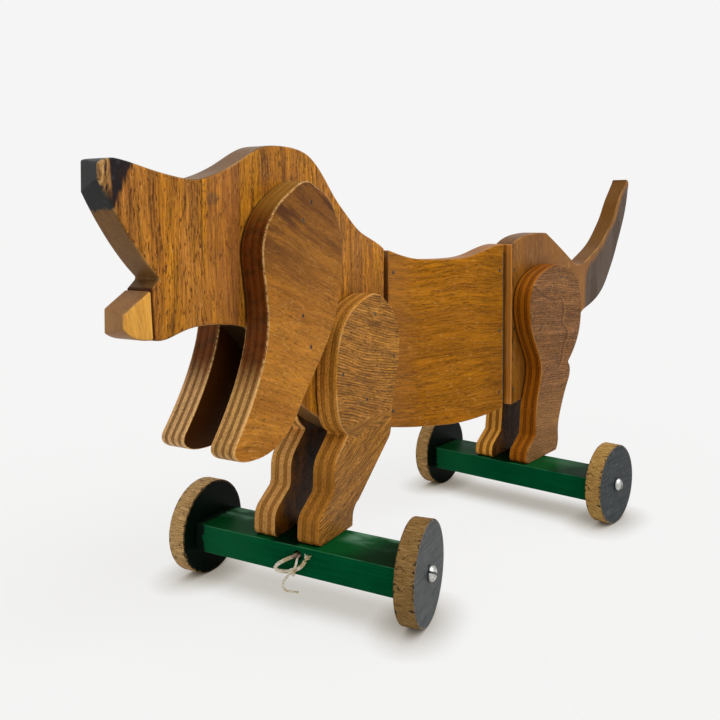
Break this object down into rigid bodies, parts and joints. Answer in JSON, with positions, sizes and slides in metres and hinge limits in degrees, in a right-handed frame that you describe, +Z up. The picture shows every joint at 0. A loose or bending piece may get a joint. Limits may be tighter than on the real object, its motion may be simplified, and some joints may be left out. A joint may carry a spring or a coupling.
{
  "type": "pull-along toy",
  "caption": "Wooden pull-along hound of hinged board sections, with plywood ears and legs on wheeled beams and a short frayed pull string.",
  "frame": {"origin": "centre of the toy's footprint on the floor, with the toy standing in the pose of the picture", "axes": "+X from tail to head along the tail board, +Y to the dog's left, +Z up"},
  "size_m": [0.6537, 0.2014, 0.2793],
  "materials": {
    "varnished_board": "satin varnish",
    "varnished_plywood": "satin varnish, plies showing on the edges",
    "green_paint": "gloss paint, scuffed edges",
    "charcoal_paint": "thin satin stain over wood",
    "screw_steel": "bright",
    "nail_steel": "dull",
    "strip_leather": "matte",
    "cotton_string": "twisted, frayed"
  },
  "bodies": {
    "middle_section": {"middle_board": "varnished_board", "middle_board_nails": "nail_steel", "front_hinge_strip": "strip_leather", "rear_hinge_strip": "strip_leather"},
    "head_section": {"head_board": "varnished_board", "jaw_tip": "varnished_board", "left_ear": "varnished_plywood", "right_ear": "varnished_plywood", "left_ear_nails": "nail_steel", "right_ear_nails": "nail_steel", "left_front_leg": "varnished_plywood", "right_front_leg": "varnished_plywood", "left_front_leg_nails": "nail_steel", "right_front_leg_nails": "nail_steel", "head_board_strip_nails": "nail_steel", "front_beam": "green_paint", "front_foot_nails": "nail_steel", "front_wheel_screws": "screw_steel", "pull_string_loop": "cotton_string", "pull_string_end": "cotton_string"},
    "tail_section": {"tail_board": "varnished_board", "tail_board_strip_nails": "nail_steel", "left_rear_leg": "varnished_plywood", "right_rear_leg": "varnished_plywood", "left_rear_leg_nails": "nail_steel", "right_rear_leg_nails": "nail_steel", "rear_beam": "green_paint", "rear_foot_nails": "nail_steel", "rear_wheel_screws": "screw_steel"},
    "front_left_wheel_body": {"front_left_wheel": "charcoal_paint"},
    "front_right_wheel_body": {"front_right_wheel": "charcoal_paint"},
    "rear_left_wheel_body": {"rear_left_wheel": "charcoal_paint"},
    "rear_right_wheel_body": {"rear_right_wheel": "charcoal_paint"}
  },
  "joints": [
    {"name": "front_hinge", "type": "hinge", "parent": "middle_section", "child": "head_section", "pos_m": [0.06103, -0.03317, 0.146], "axis": [0, 0, 1], "range_deg": [-66.8, 13.2], "deforming": ["front_hinge_strip"]},
    {"name": "rear_hinge", "type": "hinge", "parent": "middle_section", "child": "tail_section", "pos_m": [-0.0579, 0.00365, 0.146], "axis": [0, 0, 1], "range_deg": [-57.2, 22.8], "deforming": ["rear_hinge_strip"]},
    {"name": "front_left_wheel_spin", "type": "hinge", "parent": "head_section", "child": "front_left_wheel_body", "pos_m": [0.15026, 0.0584, 0.03], "axis": [-0.2907, 0.9568, 0], "continuous": true},
    {"name": "front_right_wheel_spin", "type": "hinge", "parent": "head_section", "child": "front_right_wheel_body", "pos_m": [0.17421, -0.08319, 0.03], "axis": [-0.1668, 0.986, 0], "continuous": true},
    {"name": "rear_left_wheel_spin", "type": "hinge", "parent": "tail_section", "child": "rear_left_wheel_body", "pos_m": [-0.07515, 0.08385, 0.03], "axis": [0.0506, 0.9987, 0], "continuous": true},
    {"name": "rear_right_wheel_spin", "type": "hinge", "parent": "tail_section", "child": "rear_right_wheel_body", "pos_m": [-0.07515, -0.05975, 0.03], "axis": [0, 1, 0], "continuous": true}
  ]
}
